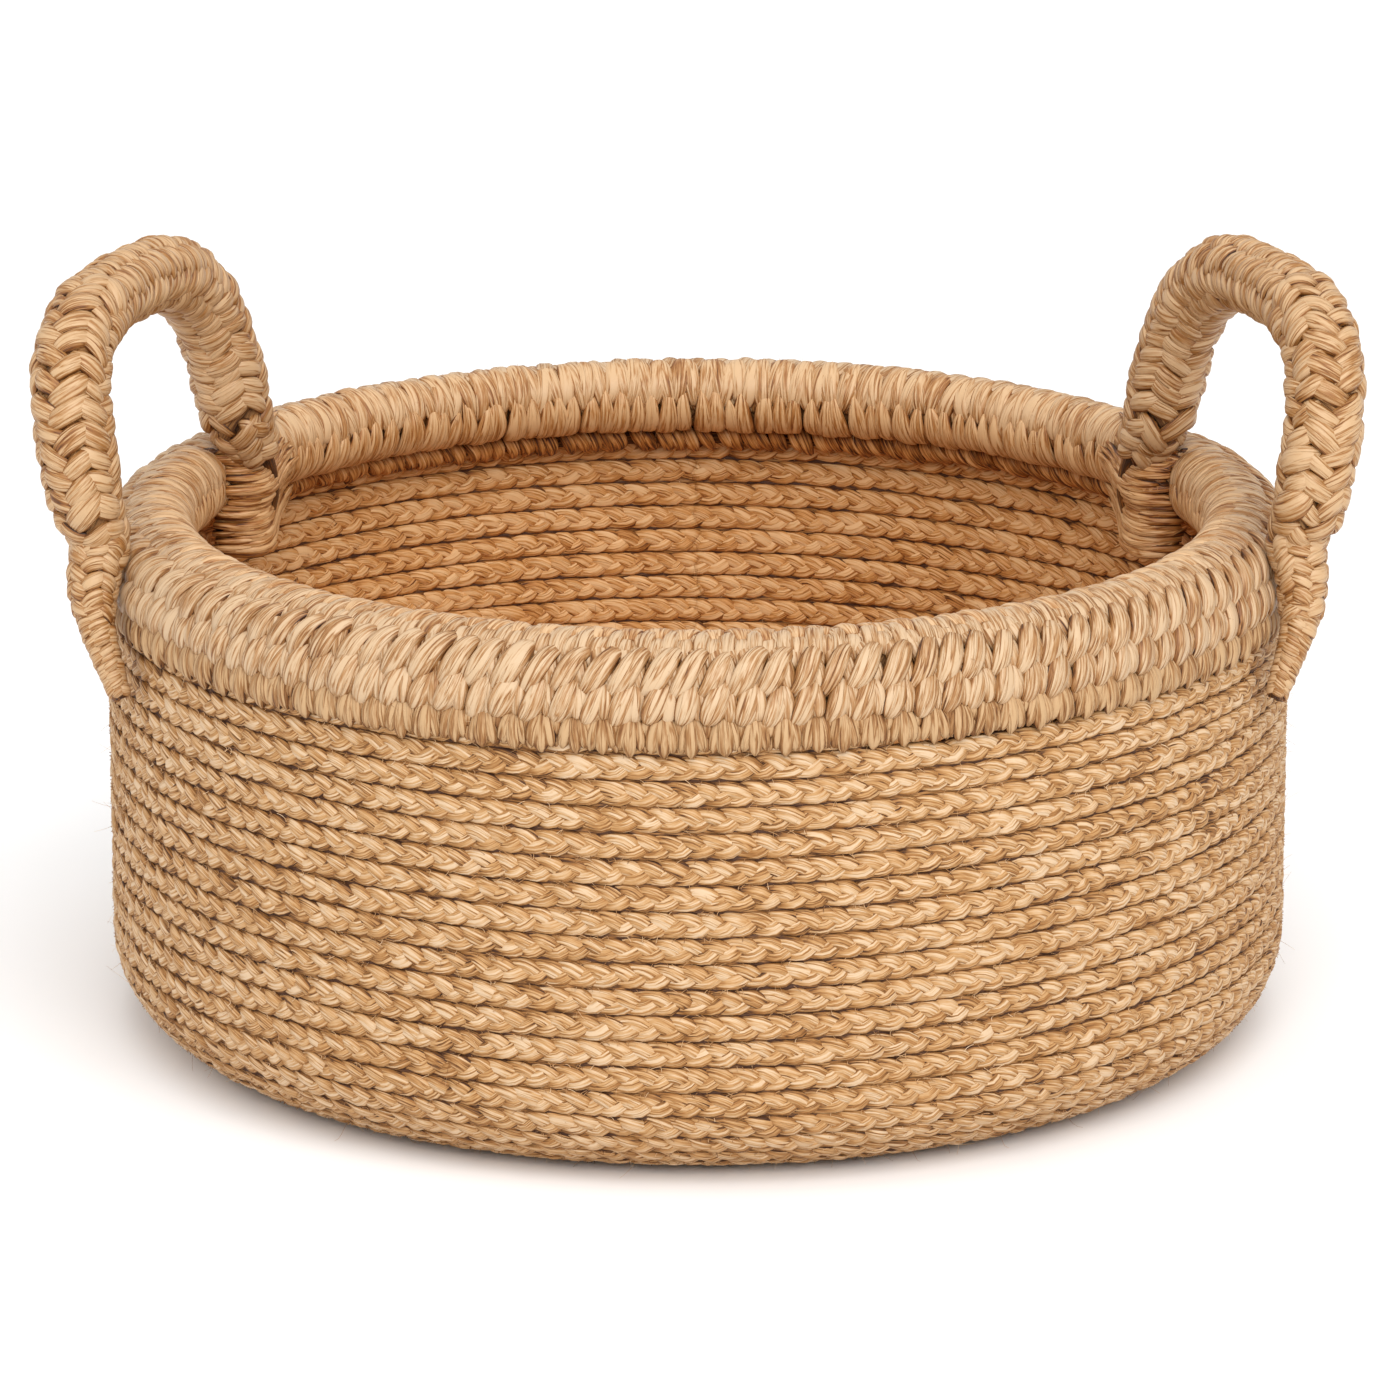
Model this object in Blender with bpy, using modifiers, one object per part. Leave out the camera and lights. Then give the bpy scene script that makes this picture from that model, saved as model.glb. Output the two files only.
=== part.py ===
"""Round storage basket, coiled from one flat jute plait, with two rope handles.

Units are metres and +Z is up. The origin is on the floor at the middle of the base.
The real basket is one long plait, sewn turn beside turn. Here each full turn of the
corner and of the wall is its own closed ring, and the flat turns are one plate.
The handles are mirror images in X. Each loop is stiff rope that tilts about the line
through its two feet, and each foot is sewn to the basket.
"""
from math import cos, pi, radians, sin

import bpy
from mathutils import Vector

# Driving dimensions of the body
OUTER_RADIUS = 0.210          # outside of the wall
WALL_THICKNESS = 0.007        # the plait lies flat, so this is its thickness
CORNER_RADIUS = 0.036         # outside of the bend from the base into the wall
WALL_TOP = 0.154              # where the knotted collar starts
CORNER_COURSES = 6
WALL_COURSES = 13
PLAIT_CROWN = 0.0012          # how far a plait's faces bulge past its edges

# Rim: a rope roll on top of the collar, leaning over the inside of the wall
RIM_RADIUS = 0.1927           # middle of the roll from the basket's axis
RIM_HEIGHT = 0.177            # middle of the roll above the floor
RIM_TUBE = 0.0127             # outside radius of the roll
RIM_COVER_THICKNESS = 0.0027
RIM_MOUTH_DIRECTION = radians(-58)   # the cover is open here, towards the collar
RIM_MOUTH_HALF_ANGLE = radians(24)

# Handles, stated for the left one, which is on the -X side
FRONT_FOOT_RADIUS = 0.2165    # the front foot is sewn to the outside of the wall
FRONT_FOOT_ANGLE = radians(-17.5)    # from -X, positive towards +Y
BACK_FOOT_RADIUS = 0.1730     # the back foot is sewn to the inside of the rim
BACK_FOOT_ANGLE = radians(21.5)
HINGE_HEIGHT = 0.190          # the loops bend here, level with the top of the rim
LEAN = radians(12)            # outward from upright
LOOP_HALF_WIDTH = 0.0665
LOOP_SHIFT = -0.0050          # the loop's middle, from the middle of the hinge line
LOOP_SPRING = 0.014           # where the legs end and the arch starts
LOOP_RISE = 0.0765            # top of the rope's middle line above the hinge line
ARCH_EXPONENT = 2.9           # 2 is an ellipse, more is squarer
ROPE_RADIUS = 0.0132
COVER_THICKNESS = 0.0030
END_RADIUS = 0.0082           # the rope is squeezed where it meets the rim
TAPER_LENGTH = 0.017
END_CLEARANCE = 0.005         # from the hinge line to the loop's end faces

GAP = 0.0003                  # between pieces that touch
WHIPPING_GAP = 0.0013         # inside a whipping, whose path bends with the foot
SEGMENTS = 40                 # around the basket
SIDES = 2                     # bevel resolution of rope tubes
LEG_STEPS = 6
ARCH_STEPS = 60
LOOP_POINTS = 19              # on each handle's middle line


def empty_scene():
    """Remove whatever the file already holds."""
    for leftover in list(bpy.data.objects):
        bpy.data.objects.remove(leftover, do_unlink=True)


def linear(value):
    """Turn one sRGB value from 0 to 255 into the linear value that Blender uses."""
    value = value / 255
    if value <= 0.04045:
        return value / 12.92
    return ((value + 0.055) / 1.055) ** 2.4


def jute(name, red, green, blue, roughness=0.85):
    """A plain Principled material in a jute colour."""
    material = bpy.data.materials.new(name)
    material.use_nodes = True
    shader = material.node_tree.nodes["Principled BSDF"]
    colour = (linear(red), linear(green), linear(blue), 1.0)
    shader.inputs["Base Color"].default_value = colour
    shader.inputs["Roughness"].default_value = roughness
    shader.inputs["Metallic"].default_value = 0.0
    material.diffuse_color = colour
    return material


def add_object(name, data, colour, parent=None):
    """Put mesh or curve data in the basket's collection with a material of its own."""
    data.materials.append(jute(name, *colour))
    item = bpy.data.objects.new(name, data)
    item.parent = parent
    basket.objects.link(item)
    return item


def turned(name, section, colour, closed=True):
    """Turn a section of (radius, height) points about Z.

    The points run down the outer side first. A section that is not closed starts and
    ends on the axis.
    """
    count = len(section)
    edges = [(i, i + 1) for i in range(count - 1)]
    if closed:
        edges.append((count - 1, 0))
    mesh = bpy.data.meshes.new(name)
    mesh.from_pydata([(radius, 0.0, height) for radius, height in section], edges, [])
    item = add_object(name, mesh, colour)
    screw = item.modifiers.new("turn", "SCREW")
    screw.axis = "Z"
    screw.angle = 2 * pi
    screw.steps = SEGMENTS
    screw.render_steps = SEGMENTS
    screw.use_merge_vertices = True
    screw.merge_threshold = 0.00001
    screw.use_smooth_shade = False
    return item


def rope(name, points, radii, colour, parent=None, thickness=None):
    """A tube through the points: solid, or a sleeve when a wall thickness is given."""
    curve = bpy.data.curves.new(name, "CURVE")
    curve.dimensions = "3D"
    curve.bevel_depth = 1.0
    curve.bevel_resolution = SIDES
    curve.use_fill_caps = thickness is None
    spline = curve.splines.new("POLY")
    spline.points.add(len(points) - 1)
    for knot, point, radius in zip(spline.points, points, radii):
        knot.co = (*point, 1.0)
        knot.radius = radius
    item = add_object(name, curve, colour, parent)
    if thickness is not None:
        shell = item.modifiers.new("wall", "SOLIDIFY")
        shell.thickness = thickness
        shell.offset = -1.0
    return item


def smooth(value):
    """Ease from 0 to 1, flat at both ends."""
    value = min(max(value, 0.0), 1.0)
    return value * value * (3 - 2 * value)


# The body of the basket

def base_coil():
    """The flat turns of the plait, as one plate that the basket stands on."""
    edge = OUTER_RADIUS - CORNER_RADIUS - GAP / 2
    section = [
        (0.0, WALL_THICKNESS),
        (edge - PLAIT_CROWN, WALL_THICKNESS),
        (edge, WALL_THICKNESS - PLAIT_CROWN),
        (edge, PLAIT_CROWN),
        (edge - PLAIT_CROWN, 0.0),
        (0.0, 0.0),
    ]
    turned("base_coil", section, (189, 143, 97), closed=False)


def corner_course(number):
    """One turn of the plait on the bend between the base and the wall."""
    centre = OUTER_RADIUS - CORNER_RADIUS
    inner = CORNER_RADIUS - WALL_THICKNESS
    pitch = (pi / 2) / CORNER_COURSES
    middle = -pi / 2 + pitch * (number - 0.5)
    half = pitch / 2 - GAP / (2 * inner)
    corners = [
        (CORNER_RADIUS - PLAIT_CROWN, half),
        (CORNER_RADIUS, 0.0),
        (CORNER_RADIUS - PLAIT_CROWN, -half),
        (inner + PLAIT_CROWN, -half),
        (inner, 0.0),
        (inner + PLAIT_CROWN, half),
    ]
    section = [
        (centre + reach * cos(middle + turn), CORNER_RADIUS + reach * sin(middle + turn))
        for reach, turn in corners
    ]
    tone = 0.94 + 0.02 * number / CORNER_COURSES
    colour = (196 * tone, 150 * tone, 104 * tone)
    turned(f"corner_course_{number:02d}", section, colour)


def wall_course(number):
    """One upright turn of the plait, counted from the bottom."""
    pitch = (WALL_TOP - CORNER_RADIUS) / WALL_COURSES
    low = CORNER_RADIUS + pitch * (number - 1) + GAP / 2
    high = low + pitch - GAP
    outer = OUTER_RADIUS
    inner = OUTER_RADIUS - WALL_THICKNESS
    section = [
        (outer - PLAIT_CROWN, high),
        (outer, (low + high) / 2),
        (outer - PLAIT_CROWN, low),
        (inner + PLAIT_CROWN, low),
        (inner, (low + high) / 2),
        (inner + PLAIT_CROWN, high),
    ]
    tone = 0.96 + 0.04 * number / WALL_COURSES
    colour = (205 * tone, 162 * tone, 118 * tone)
    turned(f"wall_course_{number:02d}", section, colour)


def collar_row():
    """The row of knots that joins the wall to the rim, a little proud of the wall."""
    proud = 0.0025
    bottom = WALL_TOP + GAP
    section = [
        (0.2060, 0.1690),
        (0.2105, 0.1670),
        (OUTER_RADIUS + proud, 0.1600),
        (OUTER_RADIUS + 0.0010, bottom),
        (OUTER_RADIUS - WALL_THICKNESS, bottom),
        (0.1985, 0.1600),
        (0.1990, 0.1645),
    ]
    turned("collar_row", section, (191, 146, 101))


def around_roll(reach, angle):
    """A point of the rim's cross-section, from the middle of the roll."""
    return (RIM_RADIUS + reach * cos(angle), RIM_HEIGHT + reach * sin(angle))


def rim_cover():
    """The stitched cover of the rim, a sleeve with its mouth towards the collar."""
    points = 11
    start = RIM_MOUTH_DIRECTION + 2 * pi - RIM_MOUTH_HALF_ANGLE
    end = RIM_MOUTH_DIRECTION + RIM_MOUTH_HALF_ANGLE
    angles = [start + (end - start) * i / (points - 1) for i in range(points)]
    outside = [around_roll(RIM_TUBE, angle) for angle in angles]
    bore = RIM_TUBE - RIM_COVER_THICKNESS
    inside = [around_roll(bore, angle) for angle in reversed(angles)]
    turned("rim_cover", outside + inside, (218, 179, 137))


def rim_rope():
    """The bundle of jute inside the rim."""
    points = 8
    reach = (RIM_TUBE - RIM_COVER_THICKNESS) * cos(pi / points) - GAP
    section = [around_roll(reach, -2 * pi * i / points) for i in range(points)]
    turned("rim_rope", section, (176, 132, 88))


# The handles

def about_axis(side, radius, angle, height):
    """A place by radius and angle from the X axis, on the left (-1) or right (+1)."""
    return Vector((side * radius * cos(angle), radius * sin(angle), height))


def hinge_line(side):
    """The ends of the line that a handle tilts about: front foot, back foot."""
    front = about_axis(side, FRONT_FOOT_RADIUS, FRONT_FOOT_ANGLE, HINGE_HEIGHT)
    back = about_axis(side, BACK_FOOT_RADIUS, BACK_FOOT_ANGLE, HINGE_HEIGHT)
    return front, back


def evenly(points, count):
    """Points at equal steps along a line of points."""
    lengths = [(b - a).length for a, b in zip(points, points[1:])]
    step = sum(lengths) / (count - 1)
    spread = [points[0]]
    walked = 0.0
    for start, end, length in zip(points, points[1:], lengths):
        while len(spread) < count - 1 and walked + length >= step * len(spread):
            share = (step * len(spread) - walked) / length
            spread.append(start.lerp(end, share))
        walked += length
    return spread + [points[-1]]


def loop_line(side):
    """The middle line of a handle, from the front foot's end to the back foot's.

    It is worked out in the loop's own plane: two legs that ease out from the feet,
    and an arch between them.
    """
    front, back = hinge_line(side)
    along = (back - front).normalized()
    half_span = (back - front).length / 2
    outward = Vector((side * along.y, -side * along.x, 0.0))
    upward = Vector((0.0, 0.0, cos(LEAN))) + outward * sin(LEAN)

    def leg(end):
        flat = []
        for i in range(LEG_STEPS):
            height = END_CLEARANCE + (LOOP_SPRING - END_CLEARANCE) * i / LEG_STEPS
            ease = smooth(height / LOOP_SPRING)
            edge = LOOP_SHIFT + end * LOOP_HALF_WIDTH
            flat.append((end * half_span * (1 - ease) + edge * ease, height))
        return flat

    arch = []
    for i in range(ARCH_STEPS + 1):
        turn = pi * i / ARCH_STEPS
        reach = abs(cos(turn)) ** (2 / ARCH_EXPONENT)
        across = LOOP_HALF_WIDTH * (reach if turn > pi / 2 else -reach)
        climb = max(sin(turn), 0.0) ** (2 / ARCH_EXPONENT)
        arch.append((LOOP_SHIFT + across, LOOP_SPRING + (LOOP_RISE - LOOP_SPRING) * climb))
    flat = leg(-1) + arch + leg(1)[::-1]
    return evenly([along * across + upward * height for across, height in flat], LOOP_POINTS)


def loop_radii(points):
    """The rope's radius at each point, squeezed towards both ends."""
    lengths = [(b - a).length for a, b in zip(points, points[1:])]
    total = sum(lengths)
    radii = []
    walked = 0.0
    for length in lengths + [0.0]:
        from_end = min(walked, total - walked)
        radii.append(END_RADIUS + (ROPE_RADIUS - END_RADIUS) * smooth(from_end / TAPER_LENGTH))
        walked += length
    return radii


def handle_loop(side, name):
    """The moving loop: a rope inside a stitched cover, on a hinge between the feet."""
    front, back = hinge_line(side)
    hinge = bpy.data.objects.new(f"{name}_hinge", None)
    hinge.location = (front + back) / 2
    basket.objects.link(hinge)
    points = loop_line(side)
    radii = loop_radii(points)
    rope(f"{name}_cover", points, radii, (207, 164, 117), hinge, COVER_THICKNESS)
    core = [radius - COVER_THICKNESS - 2 * GAP for radius in radii]
    rope(f"{name}_rope", points, core, (176, 132, 88), hinge)


def sewn_tail(side, name, path, whipped):
    """A foot: the rope's flattened tail, with thin cord whipped round part of it."""
    points = [about_axis(side, radius, angle, height) for radius, angle, height, _ in path]
    radii = [thickness for _, _, _, thickness in path]
    rope(f"{name}_foot", points, radii, (198, 154, 108))
    first, last = whipped
    cord = 0.0016
    sleeve = [radius + cord + WHIPPING_GAP for radius in radii[first:last]]
    rope(f"{name}_whipping", points[first:last], sleeve, (186, 141, 96), thickness=cord)


def feet(side, name):
    """The front tail runs down outside the wall, the back one inside the rim."""
    top = HINGE_HEIGHT - 2 * GAP
    neck = 0.002
    front = [
        (FRONT_FOOT_RADIUS, FRONT_FOOT_ANGLE, top, 0.0080),
        (FRONT_FOOT_RADIUS, FRONT_FOOT_ANGLE, top - neck, 0.0080),
        (0.2198, FRONT_FOOT_ANGLE - radians(1.0), 0.180, 0.0075),
        (0.2216, FRONT_FOOT_ANGLE - radians(2.0), 0.170, 0.0068),
        (0.2213, FRONT_FOOT_ANGLE - radians(3.2), 0.160, 0.0060),
        (0.2190, FRONT_FOOT_ANGLE - radians(4.3), 0.150, 0.0052),
        (0.2165, FRONT_FOOT_ANGLE - radians(5.5), 0.138, 0.0042),
    ]
    sewn_tail(side, f"{name}_front", front, (2, 6))
    back = [
        (BACK_FOOT_RADIUS, BACK_FOOT_ANGLE, top, 0.0080),
        (BACK_FOOT_RADIUS, BACK_FOOT_ANGLE, top - neck, 0.0080),
        (0.1704, BACK_FOOT_ANGLE + radians(1.5), 0.181, 0.0064),
        (0.1704, BACK_FOOT_ANGLE + radians(2.5), 0.172, 0.0062),
        (0.1730, BACK_FOOT_ANGLE + radians(3.0), 0.163, 0.0058),
        (0.1790, BACK_FOOT_ANGLE + radians(3.5), 0.155, 0.0052),
    ]
    sewn_tail(side, f"{name}_back", back, (2, 5))


empty_scene()
basket = bpy.data.collections.new("jute_basket")
bpy.context.scene.collection.children.link(basket)

base_coil()
for course in range(1, CORNER_COURSES + 1):
    corner_course(course)
for course in range(1, WALL_COURSES + 1):
    wall_course(course)
collar_row()
rim_cover()
rim_rope()
for side, name in ((-1, "left_handle"), (1, "right_handle")):
    handle_loop(side, name)
    feet(side, name)
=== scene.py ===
# %% [markdown]
# # A round jute basket with two rope handles
# The basket is a lesson in making woven things from real strands. Every plait, stitch
# and knot below is a tube of fibre that passes over and under its neighbours, so the
# light and the silhouette come from the shape, and the material only adds the fibres.

from math import cos, pi, radians, sin

import bpy
import numpy as np
from mathutils import Matrix, Vector


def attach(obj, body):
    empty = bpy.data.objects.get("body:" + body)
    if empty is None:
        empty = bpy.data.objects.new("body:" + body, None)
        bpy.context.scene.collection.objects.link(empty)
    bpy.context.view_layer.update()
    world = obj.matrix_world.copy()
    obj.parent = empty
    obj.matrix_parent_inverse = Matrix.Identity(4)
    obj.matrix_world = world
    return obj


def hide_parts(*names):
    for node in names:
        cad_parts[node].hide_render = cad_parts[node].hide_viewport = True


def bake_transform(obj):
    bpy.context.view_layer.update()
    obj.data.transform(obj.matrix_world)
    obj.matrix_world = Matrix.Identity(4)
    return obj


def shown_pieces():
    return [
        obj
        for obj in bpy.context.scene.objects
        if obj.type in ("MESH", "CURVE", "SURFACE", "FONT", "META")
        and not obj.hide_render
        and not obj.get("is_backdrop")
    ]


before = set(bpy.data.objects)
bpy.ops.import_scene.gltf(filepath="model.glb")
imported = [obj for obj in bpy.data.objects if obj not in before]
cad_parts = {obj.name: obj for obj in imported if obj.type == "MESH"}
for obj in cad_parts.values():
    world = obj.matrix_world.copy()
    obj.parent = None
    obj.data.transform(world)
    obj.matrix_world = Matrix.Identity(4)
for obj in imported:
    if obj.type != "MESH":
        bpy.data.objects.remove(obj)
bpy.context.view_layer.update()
rng = np.random.default_rng(20)
MM = 0.001

# %% [markdown]
# ## Camera
# A long lens from almost three metres away keeps the basket's ellipses calm, as in a
# catalogue picture. The camera looks down by about sixteen degrees, so that the mouth
# of the basket is open to view.

# %% Camera
CAMERA_PLACE = Vector((0.0, -2.832, 0.926))
CAMERA_AIM = Vector((0.0007, 0.0, 0.1134))
camera_data = bpy.data.cameras.new("camera")
camera_data.lens = 212.9
camera_data.sensor_width = 36.0
camera_data.clip_end = 50.0
camera = bpy.data.objects.new("camera", camera_data)
camera.location = CAMERA_PLACE
camera.rotation_euler = (CAMERA_AIM - CAMERA_PLACE).to_track_quat("-Z", "Y").to_euler()
bpy.context.scene.collection.objects.link(camera)
bpy.context.scene.camera = camera
print("camera is", round((CAMERA_AIM - CAMERA_PLACE).length, 2), "m away")

# %% [markdown]
# ## Floor and light
# The floor is white and a little overlit, so that it meets the background without a
# line and only the soft shadow under the basket shows. Most light is the even light of
# the world. One large lamp at the upper right gives the strands a bright side, a small
# one from the front reaches into the mouth, and weak ones even out the paper.

# %% Floor and light
floor_mesh = bpy.data.meshes.new("floor")
HALF_FLOOR = 30.0
floor_mesh.from_pydata(
    [(x, y, 0.0) for x, y in ((-1, -1), (1, -1), (1, 1), (-1, 1))], [], [(0, 1, 2, 3)]
)
floor_mesh.transform(Matrix.Scale(HALF_FLOOR, 4))
floor = bpy.data.objects.new("floor", floor_mesh)
bpy.context.scene.collection.objects.link(floor)
paper = bpy.data.materials.new("white_paper")
paper.use_nodes = True
paper_shader = paper.node_tree.nodes["Principled BSDF"]
paper_shader.inputs["Base Color"].default_value = (0.94, 0.94, 0.94, 1)
paper_shader.inputs["Roughness"].default_value = 0.9
floor_mesh.materials.append(paper)
floor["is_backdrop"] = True

world = bpy.data.worlds.new("studio")
world.use_nodes = True
sky = world.node_tree.nodes["Background"]
sky.inputs["Color"].default_value = (1.0, 1.0, 1.0, 1)
sky.inputs["Strength"].default_value = 0.77
bpy.context.scene.world = world
bpy.context.scene.view_settings.view_transform = "Standard"


def lamp(name, place, aim, size, watts):
    """A square area lamp that points at a place."""
    data = bpy.data.lights.new(name, "AREA")
    data.shape = "SQUARE"
    data.size = size
    data.energy = watts
    item = bpy.data.objects.new(name, data)
    item.location = place
    item.rotation_euler = (Vector(aim) - Vector(place)).to_track_quat("-Z", "Y").to_euler()
    bpy.context.scene.collection.objects.link(item)
    return item


lamp("key", (0.80, -2.3, 2.4), (0, 0, 0.1), 2.9, 82)
lamp("top", (0.1, 0.3, 2.6), (0, 0, 0.1), 1.8, 10)
lamp("front", (-0.45, -3.4, 1.9), (0, 0.1, 0.12), 1.4, 24)
lamp("backdrop", (0.0, 3.4, 2.2), (0, 5.0, 0), 3.0, 45)
lamp("left", (-2.6, -0.2, 1.6), (-1.2, 0.1, 0), 1.6, 9)

# %% [markdown]
# ## Writing shaders as sums
# A material is a small calculation, and it reads best as one. The first class below
# wraps an output socket, so that `0.5 + (streak - 0.5) * 1.3` adds the Math nodes by
# itself. Any other node comes from one method of the second, which sets the node's own
# settings first and then its sockets.

# %% Socket arithmetic
class Socket:
    """An output socket that can be added, subtracted and multiplied."""

    def __init__(self, shop, output):
        self.shop = shop
        self.output = output

    def __add__(self, other):
        return self.shop.calculate("ADD", self, other)

    def __radd__(self, other):
        return self.shop.calculate("ADD", other, self)

    def __sub__(self, other):
        return self.shop.calculate("SUBTRACT", self, other)

    def __rsub__(self, other):
        return self.shop.calculate("SUBTRACT", other, self)

    def __mul__(self, other):
        return self.shop.calculate("MULTIPLY", self, other)

    def __rmul__(self, other):
        return self.shop.calculate("MULTIPLY", other, self)


class Workshop:
    """The node tree of one material."""

    def __init__(self, name):
        self.material = bpy.data.materials.new(name)
        self.material.use_nodes = True
        self.tree = self.material.node_tree
        self.shader = self.tree.nodes["Principled BSDF"]

    def put(self, socket, value):
        """Link a Socket, or set a plain value."""
        if isinstance(value, Socket):
            self.tree.links.new(value.output, socket)
        else:
            socket.default_value = value

    def node(self, kind, settings=None, sockets=None, output=0):
        """Add a node: its own settings first, then values or links for its sockets."""
        made = self.tree.nodes.new(kind)
        for name, value in (settings or {}).items():
            if name == "stops":
                ramp = made.color_ramp
                while len(ramp.elements) < len(value):
                    ramp.elements.new(0.5)
                for element, (position, colour) in zip(ramp.elements, value):
                    element.position = position
                    element.color = colour
            else:
                setattr(made, name, value)
        for name, value in (sockets or {}).items():
            self.put(made.inputs[name], value)
        return Socket(self, made.outputs[output])

    def calculate(self, operation, first, second=0.0):
        return self.node("ShaderNodeMath", {"operation": operation}, {0: first, 1: second})

    def noise(self, vector, scale, detail, roughness):
        sockets = {"Vector": vector, "Scale": scale, "Detail": detail, "Roughness": roughness}
        return self.node("ShaderNodeTexNoise", {"noise_dimensions": "3D"}, sockets)

    def attribute(self, name, output):
        return self.node("ShaderNodeAttribute", {"attribute_name": name}, output=output)


def linear(value):
    """One sRGB value from 0 to 255 as linear light."""
    value = value / 255
    return value / 12.92 if value <= 0.04045 else ((value + 0.055) / 1.055) ** 2.4


def colour(red, green, blue):
    return (linear(red), linear(green), linear(blue), 1.0)


print("a mid jute colour is", [round(v, 3) for v in colour(205, 162, 118)])

# %% [markdown]
# ## The jute finish
# Jute is a bundle of long straw-coloured fibres. Close up it shows fine streaks along
# each strand, and it is glossy on the crown. Each strand carries its own coordinates in
# the attribute `fibre` (along, across, through), so the streaks follow every bend. `crown`
# says how far out of the weave a point stands, and the colour is painted from it: pale on
# the crown as painted highlight and red-brown in the folds as painted shade. `tone` makes
# one strand paler than the next, and `inner` paints bounce light: it warms and lightens
# the faces that look into the basket, where light would bounce from jute to jute.

# %% Jute material
FIBRE_STRETCH = 14.0
FIBRE_GRAIN = 1350.0
# a warm, brighter tint for the faces that look into the basket: painted bounce light
PAINTED_BOUNCE_LIGHT = (1.24, 1.08, 0.84, 1.0)


def jute(name, shades, roughness):
    shop = Workshop(name)
    along = shop.attribute("fibre", "Vector")
    thread = shop.node(
        "ShaderNodeVectorMath",
        {"operation": "MULTIPLY"},
        {0: along, 1: (1 / FIBRE_STRETCH, 1.0, 1.0)},
    )
    fine = shop.noise(thread, FIBRE_GRAIN, 3.0, 0.62)
    bundle = shop.noise(thread, FIBRE_GRAIN * 0.5, 1.0, 0.5)
    place = shop.node("ShaderNodeTexCoord", output="Object")
    patch = shop.noise(place, 42.0, 2.0, 0.5)
    tone = shop.attribute("tone", "Fac")
    crown = shop.attribute("crown", "Fac")
    near_middle = shop.calculate("ABSOLUTE", bundle - 0.5)
    groove = shop.calculate("MAXIMUM", 1 - near_middle * 24.0)
    streak = (fine - 0.5) * 2.3 + (bundle - 0.5) * 0.4 - groove * 0.36
    # the crown term paints shade into the folds and highlight onto the crowns; streak, tone and patch
    # are the jute's own colour
    level = 0.56 + streak + (tone - 0.5) * 0.4 + (patch - 0.5) * 0.4 + (crown - 0.55) * 0.8
    stops = list(zip((0.0, 0.30, 0.62, 1.0), shades))
    shade = shop.node("ShaderNodeValToRGB", {"stops": stops}, {"Fac": level})
    relief = fine * 0.7 + bundle * 0.5 - groove * 0.7
    bump = shop.node(
        "ShaderNodeBump",
        sockets={"Strength": 0.55, "Distance": 0.0005, "Height": relief},
    )
    # inner multiplies in the tint: painted bounce light on the inside faces
    painted_bounce = shop.node(
        "ShaderNodeMix",
        {"data_type": "RGBA", "blend_type": "MULTIPLY"},
        {0: shop.attribute("inner", "Fac"), 6: shade, 7: PAINTED_BOUNCE_LIGHT},
        output=2,
    )
    shop.put(shop.shader.inputs["Base Color"], painted_bounce)
    shop.put(shop.shader.inputs["Normal"], bump)
    shop.put(shop.shader.inputs["Roughness"], roughness + 0.25 * (0.6 - fine))
    shop.put(shop.shader.inputs["Specular IOR Level"], 0.42)
    return shop.material


# name, then the colours of the creases, the folds, the body and the crowns, roughness.
# Through crown the creases and folds get painted shade and the crowns painted highlight.
PALETTES = (
    ("plaited_jute", (66, 34, 10), (147, 97, 43), (184, 140, 89), (205, 176, 142), 0.62),
    ("stitched_jute", (56, 27, 7), (124, 76, 31), (161, 116, 69), (196, 166, 131), 0.44),
    ("knotted_jute", (52, 26, 7), (112, 67, 25), (147, 103, 57), (184, 149, 108), 0.62),
    ("handled_jute", (52, 25, 6), (121, 71, 25), (156, 108, 57), (192, 157, 117), 0.44),
    ("raw_jute", (60, 34, 13), (96, 60, 28), (128, 88, 47), (154, 112, 66), 0.8),
    ("loose_jute", (130, 84, 40), (170, 122, 74), (206, 164, 116), (238, 212, 178), 0.62),
)
plait_jute, stitch_jute, knot_jute, handle_jute, raw_jute, hair_jute = (
    jute(name, [colour(*shade) for shade in shades], roughness)
    for name, *shades, roughness in PALETTES
)
print("finishes:", [m.name for m in bpy.data.materials if "jute" in m.name])

# %% [markdown]
# ## One tool for every strand
# Curves with a bevel could draw the strands, but a basket has about five thousand of
# them, and each needs its own width, tone and fibre direction. So one class sweeps an
# oval along many middle lines at once with numpy, keeps the attributes, and makes one
# mesh for a whole group. The UV map lays every strip of faces in rows without overlap.

# %% Strand tool
UPWARD = np.array([0, 0, 1.0])


def unit(vectors):
    return vectors / np.maximum(np.linalg.norm(vectors, axis=-1, keepdims=True), 1e-12)


def spoke(angle):
    """The level direction away from the basket's axis, at angles in radians."""
    return np.stack([np.cos(angle), np.sin(angle), np.zeros_like(angle)], -1)


SQUARENESS = 0.85
RIDGES = 5
RIDGE_TWIST = 160
EDGE_SHADE = 0.45


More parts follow.
